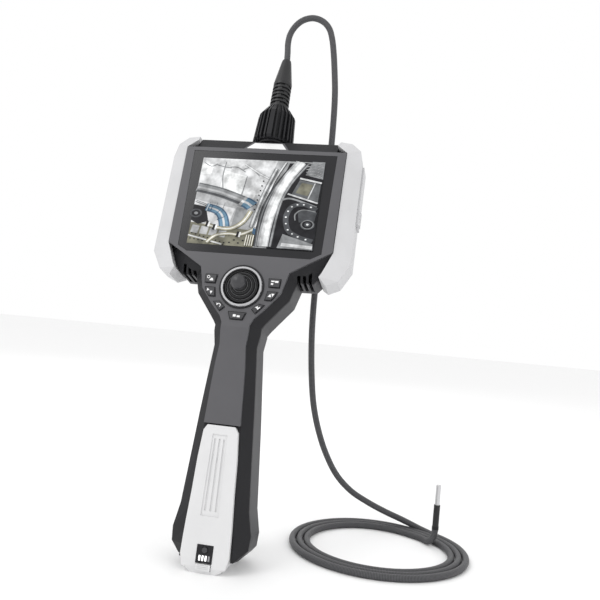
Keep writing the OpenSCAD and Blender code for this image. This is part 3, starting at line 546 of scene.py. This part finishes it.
    # The machine at the left with its blue hose
    area([(0, 0.56), (0.1, 0.58), (0.14, 0.74), (0.06, 0.78), (0, 0.74)], "dark")
    for r, shade in ((0.05, "slate"), (0.036, "dark"), (0.016, "shade")):
        art.disc(0.03, 0.66, r, base, up(), index[shade], 20)
    pipe([(0.01, 0.52), (0.07, 0.545), (0.13, 0.58)], 0.022, "slate", "shade", "pale")
    pipe([(0.12, 0.585), (0.2, 0.615), (0.25, 0.68), (0.278, 0.79)], 0.085, "deep_blue", "blue", "pale")
    ridges = ((0.155, 0.56, 0.145, 0.635), (0.225, 0.605, 0.185, 0.665), (0.27, 0.68, 0.21, 0.72))
    for s0, t0, s1, t1 in ridges:
        band([(s0, t0), (s1, t1)], 0.007, "deep_blue")
    pipe([(0.125, 0.545), (0.11, 0.625)], 0.026, "deep_blue", "blue", "bright")
    # Cream hoses with their fittings
    upper = [(0.12, 0.77), (0.22, 0.81), (0.33, 0.81), (0.42, 0.73), (0.47, 0.6)]
    pipe(upper, 0.042, "olive", "cream", "bright")
    lower = [(0.16, 0.98), (0.22, 0.9), (0.32, 0.87), (0.42, 0.87), (0.52, 0.8)]
    pipe(lower, 0.034, "olive", "cream", "bright")
    for s0, t0 in ((0.14, 0.775), (0.2, 0.805), (0.4, 0.87)):
        band([(s0, t0 - 0.03), (s0 - 0.008, t0 + 0.03)], 0.018, "dark")
        band([(s0 + 0.016, t0 - 0.024), (s0 + 0.01, t0 + 0.03)], 0.014, "bright")
    for k in range(4):
        pipe([(0.47 + k * 0.018, 0.87), (0.465 + k * 0.018, 0.99)], 0.016, "dark", "cream", "bright")
    area([(0.51, 0.79), (0.55, 0.81), (0.54, 0.87), (0.51, 0.85)], "deep_blue")
    # Frames and the bright band, with bolts beside them
    pipe([(0.62, 0.1), (0.545, 0.42), (0.49, 0.78)], 0.03, "grey", "panel", "bright")
    pipe([(0.69, 0.02), (0.605, 0.3), (0.525, 0.78)], 0.018, "slate", "pale", "bright")
    for k in range(7):
        art.disc(0.53 - k * 0.006, 0.25 + k * 0.055, 0.006, base, up(), index["dark"], 8)
    area([(0.72, 0.03), (1, 0.0), (1, 1), (0.64, 1), (0.62, 0.62), (0.65, 0.35)], "dark")
    pipe([(0.72, 0.12), (0.615, 0.38), (0.56, 0.66), (0.555, 0.99)], 0.04, "dark", "slate", "shade")
    band([(0.81, 0.015), (0.705, 0.25), (0.64, 0.52), (0.612, 0.78), (0.607, 0.985)], 0.088, "panel")
    band([(0.815, 0.015), (0.71, 0.25), (0.645, 0.52), (0.617, 0.78), (0.612, 0.985)], 0.066, "pale")
    band([(0.825, 0.015), (0.72, 0.25), (0.655, 0.52), (0.627, 0.78), (0.622, 0.985)], 0.034, "bright")
    pipe([(0.865, 0.04), (0.755, 0.27), (0.69, 0.54), (0.665, 0.985)], 0.02, "grey", "shade", "panel")
    # The dark machine at the right: vanes, window, bolted ring, dial
    area([(0.9, 0.0), (1, 0.0), (1, 0.2), (0.86, 0.16)], "shade")
    for k in range(5):
        pipe([(0.86, 0.03 + k * 0.032), (0.93, 0.012 + k * 0.034), (0.99, 0.02 + k * 0.04)], 0.012,
             "dark", "shade", "pale")
    area([(0.82, 0.22), (0.99, 0.26), (0.985, 0.46), (0.77, 0.39)], "grey")
    area([(0.84, 0.25), (0.93, 0.27), (0.9, 0.4), (0.8, 0.37)], "olive")
    band([(0.82, 0.2), (0.995, 0.245)], 0.018, "pale")
    band([(0.74, 0.385), (0.985, 0.475)], 0.016, "pale")
    pipe([(0.945, 0.25), (0.905, 0.43)], 0.016, "slate", "panel", "bright")
    band([(0.7, 0.46), (0.78, 0.44), (0.98, 0.52)], 0.018, "shade")
    ring = [(0.985, 0.55), (0.88, 0.5), (0.79, 0.53), (0.755, 0.65), (0.785, 0.79),
            (0.87, 0.86), (0.985, 0.9)]
    band(ring, 0.044, "slate")
    for s, t in curve(ring, 2)[1:-1]:
        art.disc(s, t, 0.0115, base, up(), index["grey"], 10)
        art.disc(s, t, 0.0075, base, up(), index["bright"], 8)
    area([(0.84, 0.57), (0.93, 0.55), (0.99, 0.58), (0.98, 0.68), (0.86, 0.7)], "slate")
    band([(0.98, 0.575), (0.88, 0.56), (0.825, 0.61), (0.83, 0.68)], 0.01, "shade")
    dial = ((0.058, "slate"), (0.05, "shade"), (0.042, "dark"), (0.026, "slate"), (0.01, "bright"))
    for r, shade in dial:
        art.disc(0.93, 0.72, r, base, up(), index[shade], 24)
    area([(0.75, 0.84), (0.99, 0.93), (0.995, 0.995), (0.72, 0.995)], "shade")
    band([(0.75, 0.955), (0.99, 0.97)], 0.034, "pale")
    return art.make("screen_picture", mats, "housing")


picture()


# ---- the blank badge on the chamfer above the screen, with its raised frame ----
def badge():
    slope = math.atan2(6.6, 12)

    def chamfer(x, h, y):
        return head(x, 119 + h * math.cos(slope) - y * math.sin(slope),
                    2.4 + h * math.sin(slope) + y * math.cos(slope))

    plate = Inlay(chamfer)
    plate.prism([(-16.6, 1.8), (16.6, 1.8), (11.5, 10.2), (-11.5, 10.2)], 0.02, -0.9)
    obj = plate.make("badge_blank", [MATS["white_plastic"]], "housing")
    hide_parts("badge_plate")
    outer = [(-19, 0.8), (19, 0.8), (13, 11.4), (-13, 11.4)]
    inner = [(-17, 1.6), (17, 1.6), (11.8, 10.4), (-11.8, 10.4)]
    rim = Inlay(chamfer)
    for i in range(4):
        j = (i + 1) % 4
        rim.prism([outer[i], outer[j], inner[j], inner[i]], 0.02, -0.8)
    rim.make("badge_rim", [MATS["graphite_plastic"]], "housing")


badge()


# ---- key glyphs: plain white symbols ----
def glyphs():
    ink, low, high = MATS["white_plastic"], -1.35, -1.44

    def stamp(key, draw):
        mark = Inlay(head)
        draw(mark)
        mark.make("glyph_" + key, [ink], key)

    def ring(m, x, v, r, w, a0=0, a1=360):
        arc = [(x + r * math.cos(math.radians(a)), v + r * math.sin(math.radians(a)))
               for a in range(a0, a1 + 1, 20)]
        m.ribbon(arc, w, low, high)

    def house(m):
        ring(m, -27, 5.6, 1, 0.45)
        m.prism([(-26, 2.8), (-22.8, 2.8), (-23.4, 4.8), (-24.8, 4.8)], low, high)

    def play(m):
        m.prism([(-26.4, -3.6), (-24.4, -4.7), (-26.4, -5.8)], low, high)
        m.prism([(-24, -5.6), (-21.8, -5.6), (-22.9, -8)], low, high)

    def back(m):
        ring(m, -15, -16.4, 1.3, 0.5, -60, 140)
        m.prism([(-16.8, -16.6), (-15.4, -15.6), (-16.8, -14.6)], low, high)

    def folder(m):
        m.prism([(-2.6, -22.6), (-0.4, -22.6), (-0.4, -24.4), (-2.6, -24.4)], low, high)
        m.prism([(0.4, -23.2), (2.8, -23.2), (2.8, -24.6), (0.4, -24.6)], low, high)

    def bars(m):
        m.prism([(22.6, 6.4), (25.2, 6.4), (25.2, 5.4), (22.6, 5.4)], low, high)
        m.prism([(25.6, 6.4), (28.2, 6.4), (28.2, 4.9), (25.6, 4.9)], low, high)
        m.prism([(22.6, 4.4), (24.4, 4.4), (24.4, 3.0), (22.6, 3.0)], low, high)

    def picture_key(m):
        m.prism([(21.6, -6.8), (23.4, -4.2), (24.4, -6.8)], low, high)
        m.prism([(24.2, -4), (26.6, -4), (25.2, -6.6)], low, high)

    def turn(m):
        m.prism([(13.2, -15.8), (15.4, -14.6), (15.4, -16.6)], low, high)
        m.prism([(14.6, -16.4), (17.4, -15), (17, -16.2), (15.4, -17.6)], low, high)

    for key, draw in (("key_top_left", house), ("key_mid_left", play), ("key_low_left", back),
                      ("key_bottom", folder), ("key_top_right", bars), ("key_mid_right", picture_key),
                      ("key_low_right", turn)):
        stamp(key, draw)


glyphs()


# ---- battery gauge: three lit bars and one dim ----
def gauge():
    lit, _ = material("gauge_lit", (0.95, 0.95, 0.95), 0.3, glow=1.0)
    dim, _ = material("gauge_dim", (0.28, 0.28, 0.29), 0.4)
    bars = Inlay(hand)
    for i in range(4):
        x = -3.9 + i * 2.3
        bars.prism([(x, 9), (x + 1.3, 9), (x + 1.3, 12.6), (x, 12.6)], -1.28, -1.5, 1 if i == 3 else 0)
    obj = bars.make("gauge_lights", [lit, dim], "battery")
    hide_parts("gauge_bars")


gauge()


# ---- floor and light ----
def stage():
    mesh = bpy.data.meshes.new("floor")
    size = 6
    corners = [(-size, -size, 0), (size, -size, 0), (size, size, 0), (-size, size, 0)]
    mesh.from_pydata(corners, [], [[0, 1, 2, 3]])
    floor = bpy.data.objects.new("floor", mesh)
    bpy.context.scene.collection.objects.link(floor)
    mat, _ = material("floor", (0.93, 0.93, 0.93), 0.9, spec=0.1)
    mesh.materials.append(mat)
    world = bpy.data.worlds.new("studio")
    world.use_nodes = True
    world.node_tree.nodes["Background"].inputs["Color"].default_value = (1, 1, 1, 1)
    world.node_tree.nodes["Background"].inputs["Strength"].default_value = 1.0
    bpy.context.scene.world = world
    for name, spot, aim, width, watts in (
            ("key_light", (-0.9, -0.9, 1.5), (0, 0, 0.2), 0.9, 7),
            ("fill_light", (1.4, -0.9, 0.9), (0, 0, 0.2), 1.0, 1.5),
            ("rear_light", (-0.4, 1.2, 1.2), (0, 0, 0.3), 0.8, 4)):
        data = bpy.data.lights.new(name, "AREA")
        data.size, data.energy = width, watts
        lamp = bpy.data.objects.new(name, data)
        lamp.location = spot
        lamp.rotation_euler = (Vector(aim) - Vector(spot)).to_track_quat("-Z", "Y").to_euler()
        bpy.context.scene.collection.objects.link(lamp)


stage()
